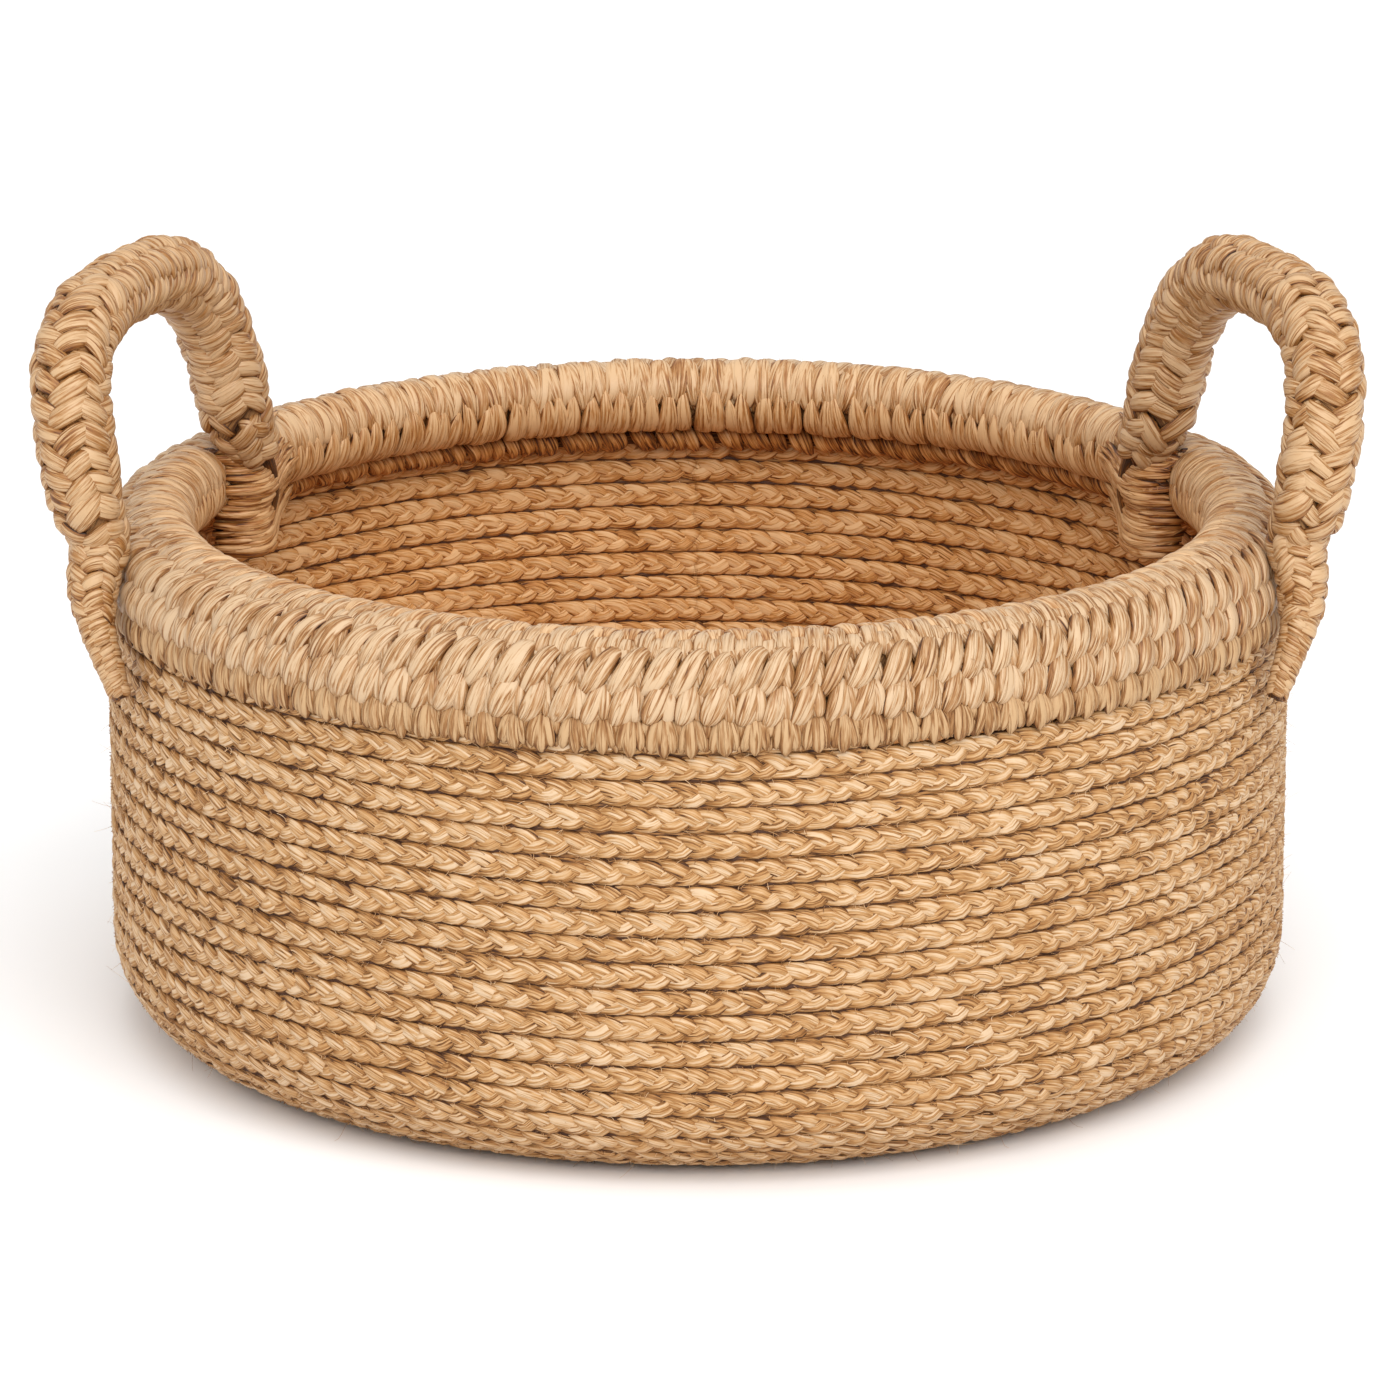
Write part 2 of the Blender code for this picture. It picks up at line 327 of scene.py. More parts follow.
class Skein:
    """Gathers strands and makes one mesh of them."""

    def __init__(self, name):
        self.name = name
        self.parts = []

    def add(self, middle, outward, width, depth, sides=12, tone=0.5, crown=None, ridge=0.0,
            press=None, carried=None, inner=0.0):
        """middle and outward are (strands, rings, 3); width and depth are half sizes.

        crown is how high each ring's middle stands, from 0 in the folds to 1, or the
        height of every point, as (strands, rings, sides); the finish turns it into
        painted shade in the folds and painted highlight on the crowns. press moves the
        points after they are made. carried holds (along, walked, ridge start, fibre
        start) for a strand that goes on from one mesh into the next. inner is 1 on faces
        that look into the basket, where the finish paints bounce light.
        """
        strands, rings, _ = middle.shape
        width = np.broadcast_to(width, (strands, rings))
        depth = np.broadcast_to(depth, (strands, rings))
        tone = np.broadcast_to(tone, (strands, rings))
        height = np.asarray(0.5 if crown is None else crown, float)
        if height.ndim < 3:
            height = np.broadcast_to(height, (strands, rings))
        if carried:
            along, walked, phase, shift = carried
        else:
            along = unit(np.gradient(middle, axis=1))
            steps = np.linalg.norm(np.diff(middle, axis=1), axis=-1)
            walked = np.concatenate([np.zeros((strands, 1)), np.cumsum(steps, axis=1)], axis=1)
            phase = rng.uniform(0, 2 * pi, (strands, 1, 1))
            shift = rng.uniform(0, 3.0, (strands, 1, 1, 3))
        outward = unit(outward - (outward * along).sum(-1, keepdims=True) * along)
        across = np.cross(along, outward)
        turn = 2 * pi * np.arange(sides) / sides
        twist = walked[:, :, None] * RIDGE_TWIST
        swell = 1 + ridge * np.cos(RIDGES * turn[None, None] + phase + twist)
        square = [np.sign(v) * np.abs(v) ** SQUARENESS for v in (np.cos(turn), np.sin(turn))]
        side_way = (width[..., None] * square[0] * swell)[..., None]
        out_way = (depth[..., None] * square[1] * swell)[..., None]
        points = middle[:, :, None] + side_way * across[:, :, None] + out_way * outward[:, :, None]
        if press:
            points = press(points)
        wide = width.mean(axis=1)[:, None, None]
        thick = depth.mean(axis=1)[:, None, None]
        fibre = (walked[..., None], wide * np.cos(turn), thick * np.sin(turn))
        fibre = np.stack([np.broadcast_to(v, swell.shape) for v in fibre], axis=-1) + shift
        # painted shade along the strand's edges and in its folds, painted highlight on its crown
        edge = EDGE_SHADE * np.abs(np.cos(turn)) ** 6
        crest = (height if height.ndim == 3 else height[..., None] + 0.5 * np.sin(turn)) - edge
        shade = np.broadcast_to(tone[..., None], swell.shape)
        # how much painted bounce light each point gets
        painted_bounce = np.broadcast_to(inner, swell.shape)
        self.parts.append((points, fibre, crest, shade, painted_bounce))

    def mesh(self):
        faces, caps, cap_sizes, maps, cap_maps = [], [], [], [], []
        start = 0
        strips = sum(p[0].shape[0] * (p[0].shape[1] - 1) for p in self.parts)
        sides = max(p[0].shape[2] for p in self.parts)
        row_length = max(1, int(np.sqrt(strips * sides)))
        rows = strips // row_length + 1
        laid = 0
        for points, *_ in self.parts:
            strands, rings, sides = points.shape[:3]
            index = start + np.arange(strands * rings * sides).reshape(strands, rings, sides)
            nxt = np.roll(index, -1, axis=2)
            quads = np.stack([index[:, :-1], nxt[:, :-1], nxt[:, 1:], index[:, 1:]], axis=-1)
            faces.append(quads.reshape(-1, 4))
            number = laid + np.arange(strands * (rings - 1)).reshape(strands, rings - 1, 1)
            u = (number % row_length) / row_length + np.zeros((1, 1, sides))
            v = number // row_length + (np.arange(sides) / sides)[None, None]
            du, dv = 1 / row_length, 1 / sides
            corners = [(u, v), (u, v + dv), (u + du, v + dv), (u + du, v)]
            corners = np.stack([np.stack([x, y / rows], -1) for x, y in corners], axis=-2)
            maps.append(corners.reshape(-1, 2))
            laid += strands * (rings - 1)
            caps.append(index[:, 0, ::-1].reshape(-1))
            caps.append(index[:, -1].reshape(-1))
            cap_sizes += [sides] * (2 * strands)
            cap_maps.append(np.zeros((2 * strands * sides, 2)))
            start += strands * rings * sides
        faces = np.concatenate(faces)
        loops = np.concatenate([faces.reshape(-1)] + caps).astype(np.int32)
        sizes = np.concatenate([np.full(len(faces), 4), np.array(cap_sizes)]).astype(np.int32)
        starts = np.concatenate([[0], np.cumsum(sizes)[:-1]]).astype(np.int32)
        places, fibres, crests, tones, insides = (
            np.concatenate([column.reshape(-1, wide) for column in columns])
            for columns, wide in zip(zip(*self.parts), (3, 3, 1, 1, 1))
        )
        made = bpy.data.meshes.new(self.name)
        made.vertices.add(len(places))
        made.vertices.foreach_set("co", places.astype(np.float32).reshape(-1))
        made.loops.add(len(loops))
        made.loops.foreach_set("vertex_index", loops)
        made.polygons.add(len(sizes))
        made.polygons.foreach_set("loop_start", starts)
        made.polygons.foreach_set("loop_total", sizes)
        made.polygons.foreach_set("use_smooth", sizes == 4)
        made.update(calc_edges=True)
        uv = made.uv_layers.new(name="OFBake")
        flat = np.concatenate(maps + cap_maps).astype(np.float32)
        uv.data.foreach_set("uv", flat.reshape(-1))
        for name, kind, key, data in (
            ("fibre", "FLOAT_VECTOR", "vector", fibres),
            ("crown", "FLOAT", "value", np.clip(crests, 0, 1)),
            ("tone", "FLOAT", "value", tones),
            ("inner", "FLOAT", "value", insides),
        ):
            attribute = made.attributes.new(name, kind, "POINT")
            attribute.data.foreach_set(key, data.astype(np.float32).reshape(-1))
        return made

    def piece(self, material, slot, nodes=(), body="basket"):
        """Make the object."""
        made = bpy.data.objects.new(self.name, self.mesh())
        made.data.materials.append(material)
        bpy.context.scene.collection.objects.link(made)
        if body:
            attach(made, body)
        if nodes:
            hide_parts(*nodes)
        print(self.name, len(made.data.polygons), "faces")
        return made


def wander(count, spacing, amount):
    """Smooth random values: one draw every `spacing` rings, eased in between."""
    draws = rng.normal(0, amount, count // spacing + 3)
    place = np.arange(count) / spacing
    low = place.astype(int)
    share = place - low
    share = share * share * (3 - 2 * share)
    return draws[low] * (1 - share) + draws[low + 1] * share


# %% [markdown]
# ## The plait
# The wall is one flat plait of three strands, wound up like a snail's shell from the
# middle of the base. A plait can be drawn by a formula: each strand swings from edge to
# edge while it dips under and over twice as fast, a third of a turn behind the next. The
# path is measured in courses: whole numbers are the seams at the front. The strands are
# thick enough to be pressed flat against the courses above and below, as sewing does,
# and a thin cord fills the seam behind them.

# %% The snail path
BEND_CENTRE = 0.174
BEND_HEIGHT = 0.036
BEND_REACH = 0.0325
BASE_TURNS = 19
CORNER_TURNS = 6
WALL_TURNS = 13
WALL_PITCH = (0.154 - BEND_HEIGHT) / WALL_TURNS


def profile(course):
    """Middle of the wall after so many courses: radius, height, outward way, upward way."""
    bend = np.clip((course - BASE_TURNS) / CORNER_TURNS, 0, 1) * pi / 2
    flat = np.minimum(course, BASE_TURNS) / BASE_TURNS * BEND_CENTRE
    climb = np.maximum(course - BASE_TURNS - CORNER_TURNS, 0) * WALL_PITCH
    radius = flat + BEND_REACH * np.sin(bend)
    height = BEND_HEIGHT - BEND_REACH * np.cos(bend) + climb
    return radius, height, (np.sin(bend), -np.cos(bend)), (np.cos(bend), np.sin(bend))


def on_wall(angle, radius, height, out, up):
    """Outward ways, upward ways and places in space, from a profile and angles."""
    radial = spoke(angle)
    outward = radial * out[0][:, None] + UPWARD * out[1][:, None]
    upward = radial * up[0][:, None] + UPWARD * up[1][:, None]
    return outward, upward, radial * radius[:, None] + UPWARD * height[:, None]


def snail(first, last, step):
    """Even steps along the wound path, as a list of course values."""
    fine = np.linspace(first, last, int((last - first) * 400))
    radius = profile(fine)[0]
    length = np.concatenate([[0], np.cumsum(np.diff(fine) * 2 * pi * (radius[1:]))])
    walk = np.arange(0, length[-1], step)
    return np.interp(walk, length, fine), walk


PLAIT_PERIOD = 24.6 * MM
SWING = 2.4 * MM
STRAND_WIDTH = 3.05 * MM
STRAND_DEPTH = 1.95 * MM
SEAM_CORD_WIDTH = 1.3 * MM
SEAM_CORD_DEPTH = 0.9 * MM
PLAIT_HALF_WIDTH = 4.42 * MM
PLAIT_HALF_DEPTH = 3.0 * MM


def squeeze(value, limit, free=0.72):
    """Leave small values alone, and press larger ones smoothly under a limit."""
    room = limit * (1 - free)
    over = np.maximum(np.abs(value) - limit * free, 0)
    return np.sign(value) * (np.minimum(np.abs(value), limit * free) + room * np.tanh(over / room))


def plait_strands(first, last, per_period, sides):
    """The strands of a stretch of plait, ready to be cut into courses."""
    course, walk = snail(first, last, PLAIT_PERIOD / per_period)
    count = len(course)
    radius, height, out, up = profile(course)
    angle = -pi / 2 + 2 * pi * (course + 0.5)
    outward, upward, path = on_wall(angle, radius, height, out, up)
    drift = wander(count, 90, 0.10 * MM)
    half = per_period // 2
    turn = 2 * pi * np.arange(sides) / sides
    lines = []
    for strand in range(3):
        phase = 2 * pi * (walk / PLAIT_PERIOD + strand / 3) + wander(count, half, 0.22)
        swing = SWING * (1 + wander(count, half, 0.10))
        across = swing * (np.sin(phase) + 0.05 * np.sin(3 * phase))
        across = across + wander(count, half, 0.25 * MM) + drift
        over = -0.74 * MM * np.sin(2 * phase) - 0.10 * MM * np.cos(phase)
        over = over * (1 + wander(count, half, 0.20)) + wander(count, half, 0.12 * MM)
        middle = path + upward * across[:, None] + outward * over[:, None]
        width = STRAND_WIDTH * (1 + wander(count, half, 0.10))
        depth = STRAND_DEPTH * (1 + wander(count, half, 0.06))
        depth = depth * (1 - 0.15 * np.sin(phase) ** 4)
        tone = 0.5 + wander(count, half, 0.16) + wander(count, 160, 0.08)
        # crown: painted highlight where a strand stands proud, painted shade towards the plait's
        # edges at the seams, and painted bounce light on the inside faces
        proud = over[:, None] + depth[:, None] * np.sin(turn)
        level = np.abs(proud) / (2.5 * MM)
        edge = (np.abs(across[:, None] + width[:, None] * np.cos(turn)) - 4.5 * MM) / MM
        crown = 0.18 + 0.64 * np.minimum(level, 1) - 0.35 * np.clip(edge, 0, 1) + 0.12 * (proud < 0)
        inner = (proud < 0) * 1.0
        lines.append((middle, width, depth, tone, crown, inner))
    # the seam cord has a low tone and the lowest crown: painted shade deep in the seam
    seam = path - upward * (0.5 * WALL_PITCH)
    seam_shade_tone = np.full(count, 0.3) + wander(count, half, 0.1)
    low = np.zeros((count, sides)) + 0.05
    cord_width = np.full(count, SEAM_CORD_WIDTH)
    cord_depth = np.full(count, SEAM_CORD_DEPTH)
    lines.append((seam, cord_width, cord_depth, seam_shade_tone, low, low))
    starts = [(rng.uniform(0, 2 * pi), rng.uniform(0, 3, 3)) for _ in lines]
    return {
        "course": course, "walk": walk, "path": path, "outward": outward,
        "upward": upward, "lines": lines, "starts": starts, "sides": sides,
    }


def plait_pieces(plait, cuts):
    """Cut the strands at whole courses; each cut is (name, first, last, node names)."""
    for name, first, last, nodes in cuts:
        low, high = np.searchsorted(plait["course"], (first, last))
        part = slice(low, min(high + 1, len(plait["course"])))
        path = plait["path"][None, part, None]
        upward = plait["upward"][None, part, None]
        outward = plait["outward"][None, part, None]

        def flatten(points):
            """Neighbouring courses press the edges straight, and sewing flattens the faces."""
            away = points - path
            across = (away * upward).sum(-1, keepdims=True)
            proud = (away * outward).sum(-1, keepdims=True)
            points = points + upward * (squeeze(across, PLAIT_HALF_WIDTH, 0.86) - across)
            return points + outward * (squeeze(proud, PLAIT_HALF_DEPTH) - proud)

        skein = Skein(name)
        for (middle, width, depth, tone, crown, inner), (ridge_start, fibre_start) in zip(
            plait["lines"], plait["starts"]
        ):
            along = unit(np.gradient(middle, axis=0))
            carried = (along[None, part], plait["walk"][None, part], ridge_start, fibre_start)
            seam = width[0] == SEAM_CORD_WIDTH
            skein.add(
                middle[None, part], plait["outward"][None, part], width[None, part],
                depth[None, part], plait["sides"], tone[None, part], crown[None, part],
                ridge=0.0 if seam else 0.04, press=None if seam else flatten, carried=carried,
                inner=inner[None, part],
            )
        skein.piece(plait_jute, "plait", nodes)


# %% Base, corner and wall
base = plait_strands(0.30, BASE_TURNS + 0.02, 12, 8)
plait_pieces(
    base, [("base_plait_inner", 0.0, 13.0, ()), ("base_plait_outer", 13.0, 19.0, ("base_coil",))]
)
# a small knot closes the eye in the middle of the base
KNOT_REACH = 4.5 * MM
knot = Skein("base_knot")
for turn in (0.2, 1.25, 2.3):
    reach = np.linspace(-KNOT_REACH, KNOT_REACH, 9)
    height = 0.0038 + 0.0006 * np.cos(reach * 600)
    middle = np.stack([reach * cos(turn), reach * sin(turn), height], -1)
    size = 2.6 * MM * np.sqrt(np.maximum(1.05 - (reach / KNOT_REACH) ** 2, 0.05))
    outward = np.broadcast_to(UPWARD, middle.shape)
    knot.add(middle[None], outward[None], size, size * 0.8, 12, 0.5, 0.5)
knot.piece(plait_jute, "plait")
rise = plait_strands(BASE_TURNS, 38.6, 14, 12)
cuts = []
seam = BASE_TURNS
for zone, turns in (("corner", CORNER_TURNS), ("wall", WALL_TURNS)):
    for number in range(1, turns + 1):
        last = zone == "wall" and number == turns
        end = seam + (1.55 if last else 1)
        cuts.append((f"{zone}_plait_{number:02d}", seam, end, (f"{zone}_course_{number:02d}",)))
        seam += 1
plait_pieces(rise, cuts)

# %% [markdown]
# ## Leaves
# A stitch shows as a plump leaf: it comes up out of the work, swells, and goes down
# again. A leaf is drawn by a few control points on the surface it lies on. Blending
# neighbours again and again turns them into one smooth middle line, a Bezier curve, so
# one recipe with small random shifts makes a whole row.

# %% Leaf tool
def smooth(value):
    value = np.clip(value, 0.0, 1.0)
    return value * value * (3 - 2 * value)


def bend_line(controls, rings):
    """Smooth lines for (strands, controls, values), as (strands, rings, values)."""
    t = np.linspace(0, 1, rings)[None, :, None]
    level = [controls[:, i, None, :] * np.ones_like(t) for i in range(controls.shape[1])]
    while len(level) > 1:
        level = [a * (1 - t) + b * t for a, b in zip(level, level[1:])]
    return level[0]


def leaf_size(rings, belly, start, end, blunt):
    """How wide a leaf is along its length: 1 at its belly, and rounded off to both ends."""
    t = np.linspace(0, 1, rings)
    rising = start + (1 - start) * np.sin(pi / 2 * np.clip(t / belly, 0, 1))
    fall = np.clip((t - belly) / (1 - belly), 0, 1)
    falling = end + (1 - end) * np.maximum(1 - fall**2.2, 0) ** blunt
    return np.where(t < belly, rising, falling)


def leaves(skein, surface, base, controls, half_width, half_depth, belly=0.5, rings=11,
           sides=12, shift=(0.05, 2.0, 0.15 * MM), tone=0.15, crown=(0.35, 0.75, 0.35),
           size_change=0.08, start=0.3, end=0.3, inner=0.0, blunt=0.5):
    """One leaf for every row of base, which is added to each control point."""
    count = len(base)
    points = np.array(controls, float) + np.asarray(base, float)[:, None, :]
    points = points + rng.normal(0, 1, points.shape) * np.array(shift)
    line = bend_line(points, rings)
    middle, outward = surface(line[..., 0], line[..., 1], line[..., 2])
    profile_width = leaf_size(rings, belly, start, end, blunt)
    scale = 1 + rng.normal(0, size_change, (count, 1))
    # crown paints the leaf's ends darker, as shade where it dips into the work, and its middle
    # lighter, as highlight
    height = np.interp(np.linspace(0, 1, rings), (0, 0.5, 1), crown)
    skein.add(
        middle, outward, half_width * scale * profile_width, half_depth * scale * profile_width**0.8,
        sides, 0.5 + rng.normal(0, tone, (count, 1)), height[None], ridge=0.05, inner=inner,
    )


# %% [markdown]
# ## The rim
# The rim is a fat roll of jute rope, covered all round with crochet. A row of arched
# loops lies over the top. Two rows of slanting stitches cover the outside, and pairs of
# leaves in a V and a row of pointed teeth lock together on the inside. Places on the
# roll are given as cells along it and degrees round it: 0 is outward, 90 is the top.
# A row of small leaves lies deeper behind each band, so that no gap shows the dark.

# %% Rim stitches
ROLL_RADIUS = 0.1927
ROLL_HEIGHT = 0.177
ROLL_SKIN = 0.0112
RIM_CELLS = 130
CELL = 2 * pi / RIM_CELLS


def on_roll(u, psi, lift):
    """A place on the rim: u in cells, psi in degrees round the roll, lift above its skin."""
    angle = u * CELL
    turn = np.radians(psi)
    reach = ROLL_SKIN + lift
    radial = spoke(angle)
    outward = radial * np.cos(turn)[..., None] + UPWARD * np.sin(turn)[..., None]
    middle = radial * ROLL_RADIUS + UPWARD * ROLL_HEIGHT + outward * reach[..., None]
    return middle, outward


def ring_of(count, offset=0.0, wobble=0.05):
    """Where each stitch of a row sits, in cells, with small uneven steps."""
    place = (np.arange(count) + offset) * RIM_CELLS / count + rng.normal(0, wobble, count)
    return np.stack([place, np.zeros(count), np.zeros(count)], -1)


row = ring_of(RIM_CELLS)
backing = Skein("rim_backing_stitches")
outer_rows = Skein("rim_outer_stitches")
# lower V row, which hangs over the collar
leaves(outer_rows, on_roll, row, [(0.42, 8, 0.0), (0.18, -20, 0.0072), (-0.24, -39, 0.0094)],
       4.3 * MM, 2.6 * MM, belly=0.55, rings=14, sides=16, shift=(0.06, 2.5, 0.3 * MM),
       crown=(0.15, 0.9, 0.35), start=0.55, blunt=0.75)
leaves(outer_rows, on_roll, row, [(0.46, 6, 0.0), (0.60, -19, 0.0062), (0.46, -36, 0.0084)],
       2.7 * MM, 2.2 * MM, belly=0.6, crown=(0.15, 0.65, 0.3), start=0.5)
# upper V row
leaves(outer_rows, on_roll, row,
       [(0.74, 58, 0.0002), (0.30, 36, 0.0034), (0.10, 6, 0.0040), (-0.44, -18, 0.0030)],
       4.0 * MM, 2.5 * MM, rings=15, sides=16, crown=(0.20, 0.95, 0.4), start=0.6,
       blunt=0.7, shift=(0.06, 2.5, 0.3 * MM))
leaves(outer_rows, on_roll, row, [(0.30, 56, 0.0), (0.52, 24, 0.0026), (0.66, -14, 0.0020)],
       2.9 * MM, 2.1 * MM, crown=(0.15, 0.65, 0.3), start=0.6)
# the leaves behind, with a low crown: painted shade
leaves(backing, on_roll, ring_of(2 * RIM_CELLS, 0.2, 0.08),
       [(-0.10, 78, -0.0006), (0.0, 50, 0.0020), (0.10, 20, -0.0006)],
       2.9 * MM, 1.7 * MM, crown=(0.2, 0.5, 0.2), start=0.5)
outer_rows.piece(stitch_jute, "stitched_jute")

top_rows = Skein("rim_top_loops")
leaves(top_rows, on_roll, row,
       [(-0.50, 20, 0.0), (-0.50, 80, 0.0018), (-0.26, 150, 0.0018), (0.46, 140, 0.0016),
        (0.44, 56, 0.0)],
       3.5 * MM, 2.3 * MM, rings=18, sides=16, crown=(0.3, 0.9, 0.4), start=0.7, end=0.6)
leaves(top_rows, on_roll, row, [(-0.06, 38, 0.0), (0.06, 60, 0.0016), (0.10, 92, 0.0004)],
       3.3 * MM, 1.8 * MM, crown=(0.2, 0.65, 0.3), start=0.6)
top_rows.piece(stitch_jute, "stitched_jute", ("rim_cover",))

inner_rows = Skein("rim_inner_stitches")
TEETH = 190
teeth = ring_of(TEETH, 0.3, 0.07)
# inner here and in the V rows below paints bounce light on the inside of the rim
leaves(inner_rows, on_roll, teeth, [(0.06, 256, 0.0), (-0.04, 212, 0.0030), (0.04, 156, 0.0030)],
       3.9 * MM, 1.9 * MM, belly=0.40, rings=12, sides=14, crown=(0.3, 0.85, 0.6),
       start=0.75, end=0.15, shift=(0.10, 5.0, 0.2 * MM), inner=0.7, blunt=0.95)
for way in (-1, 1):
    leaves(inner_rows, on_roll, ring_of(RIM_CELLS, 0.5 + 0.02 * way),
           [(0.44 * way, 78, 0.0008), (0.38 * way, 136, 0.0048), (0.04 * way, 184, 0.0010)],
           3.7 * MM, 2.0 * MM, belly=0.42, rings=14, sides=14, crown=(0.35, 0.95, 0.4),
           start=0.6, end=0.15, shift=(0.09, 6.0, 0.2 * MM), inner=0.4)
# the leaves behind, with a low crown for painted shade and some painted bounce light
leaves(backing, on_roll, ring_of(2 * RIM_CELLS, 0.25, 0.08),
       [(0.10, 104, -0.0004), (0.0, 150, 0.0022), (-0.10, 196, -0.0004)],
       2.9 * MM, 1.7 * MM, crown=(0.2, 0.5, 0.2), start=0.5, inner=0.5)
inner_rows.piece(stitch_jute, "stitched_jute")
backing.piece(stitch_jute, "stitched_jute")

# %% [markdown]
# ## The rope inside the rim
# Between the stitches a little of the rope inside shows, dark because hardly any light
# gets in. It is a bundle of ropy strands that twist round the roll's middle line.

# %% Rope core
CORE_STRANDS = 9
CORE_TWISTS = 26
CORE_REACH = 8.1 * MM
swing = np.linspace(0, 2 * pi, 420)
core = Skein("rim_core")
for strand in range(CORE_STRANDS):
    turn = 2 * pi * strand / CORE_STRANDS + CORE_TWISTS * swing
    middle, outward = on_roll(swing / CELL, np.degrees(turn), CORE_REACH - ROLL_SKIN + 0 * swing)
    core.add(middle[None], outward[None], 3.3 * MM, 3.2 * MM, 8, 0.4, 0.3)
core.piece(raw_jute, "raw_jute", ("rim_rope",))

# %% [markdown]
# ## The collar
# Under the rim a row of shell-shaped knots joins the wall to the roll. Each shell is a
# fan of three short leaves that spread from one point, with a thin cord between shells.
# On the inside the same row shows as a band of small slanting loops, and three rings of
# cord behind it keep the light out.

# %% Collar knots
COLLAR_RADIUS = 0.2066


def on_collar(u, height, lift):
    """A place on the collar: u in cells, height in metres, lift outward from the wall."""
    angle = u * CELL
    radial = spoke(angle)
    middle = radial * (COLLAR_RADIUS + lift)[..., None] + UPWARD * height[..., None]
    return middle, radial


shells = ring_of(RIM_CELLS, 0.36)
small = (0.03, 0.3 * MM, 0.2 * MM)
collar = Skein("collar_shells")
# left, right and middle leaf of each fan, then the cord between the fans
for controls, wide, thick, belly, crown, start in (
    ([(0.00, 0.1690, -0.002), (-0.22, 0.1650, 0.0044), (-0.34, 0.1556, 0.0022)],
     2.5, 2.4, 0.68, (0.1, 0.8, 0.4), 0.25),
    ([(0.04, 0.1690, -0.002), (0.24, 0.1650, 0.0044), (0.34, 0.1558, 0.0022)],
     2.4, 2.3, 0.68, (0.1, 0.8, 0.4), 0.25),
    ([(0.0, 0.1690, -0.001), (-0.02, 0.1640, 0.0056), (0.02, 0.1542, 0.0026)],
     2.7, 2.2, 0.68, (0.15, 0.95, 0.45), 0.3),
    ([(0.5, 0.1690, 0.0), (0.53, 0.1640, 0.0036), (0.48, 0.1600, 0.0020)],
     1.9, 1.5, 0.5, (0.1, 0.5, 0.1), 0.3),
    ([(0.5, 0.1618, 0.0010), (0.48, 0.1590, 0.0034), (0.52, 0.1550, 0.0012)],
     1.7, 1.3, 0.5, (0.1, 0.4, 0.1), 0.3),
):
    leaves(collar, on_collar, shells, controls, wide * MM, thick * MM, belly=belly,
           shift=small, crown=crown, start=start)
collar.piece(knot_jute, "knot_cord", ("collar_row",))

band = Skein("collar_inside")
lumps = ring_of(230, 0.0, 0.08)
# a high crown and full inner paint light and bounce light on the band, which lies in the roll's
# shadow
leaves(band, on_collar, lumps,
       [(-0.30, 0.1556, -0.0060), (-0.14, 0.1608, -0.0190), (0.30, 0.1660, -0.0075)],
       2.7 * MM, 2.4 * MM, rings=10, shift=(0.06, 0.5 * MM, 0.3 * MM),
       crown=(0.6, 1.0, 0.6), start=0.5, end=0.4, inner=1.0)
# the cord rings behind get a low tone and crown: painted shade
radial = spoke(np.linspace(0, 2 * pi, 241))
for height, reach, thick in ((0.1600, 0.2035, 3.9), (0.1655, 0.2025, 3.6), (0.1700, 0.2010, 3.4)):
    middle = radial * reach + UPWARD * height
    band.add(middle[None], radial[None], thick * MM, 3.2 * MM, 10, 0.35, 0.1)
band.piece(plait_jute, "knot_cord")

# %% [markdown]
# ## Handle middle lines
# Each handle is a loop of rope that rises from a foot outside the wall, arches over and
# comes down to a foot inside the rim. The line is worked out in the loop's own leaning
# plane, then both feet are added, and everything is smoothed into one line. The arch is
# a superellipse, squarer than a half circle. Places on the rope are given as a length
# along it and degrees round it from the outer side.

# %% Handle lines
HINGE_HEIGHT = 0.190
LEAN = radians(12)
FRONT_FOOT = (0.2165, radians(-17.5))  # radius and angle
BACK_FOOT = (0.1730, radians(21.5))
# radius, degrees past the foot, height and thickness of each point of a tail
FRONT_TAIL = [
    (0.2165, -5.5, 0.138, 0.0048), (0.2190, -4.3, 0.150, 0.0060), (0.2213, -3.2, 0.160, 0.0072),
    (0.2216, -2.0, 0.170, 0.0086), (0.2198, -1.0, 0.180, 0.0100),
]
BACK_TAIL = [
    (0.1704, 1.5, 0.181, 0.0078), (0.1704, 2.5, 0.172, 0.0072),
    (0.1730, 3.0, 0.163, 0.0064), (0.1790, 3.5, 0.155, 0.0056),
]
LOOP_HALF_WIDTH = 0.0672
LOOP_SHIFT = -0.0057
LOOP_SPRING = 0.014
LOOP_RISE = 0.0765
ARCH_EXPONENT = 2.9
ROPE_RADIUS = 0.0132
END_RADIUS = 0.0110
TAPER = 0.024
COVER_DEPTH = 3.1 * MM


def about_axis(side, radius, angle, height):
    return np.array([side * radius * cos(angle), radius * sin(angle), height])


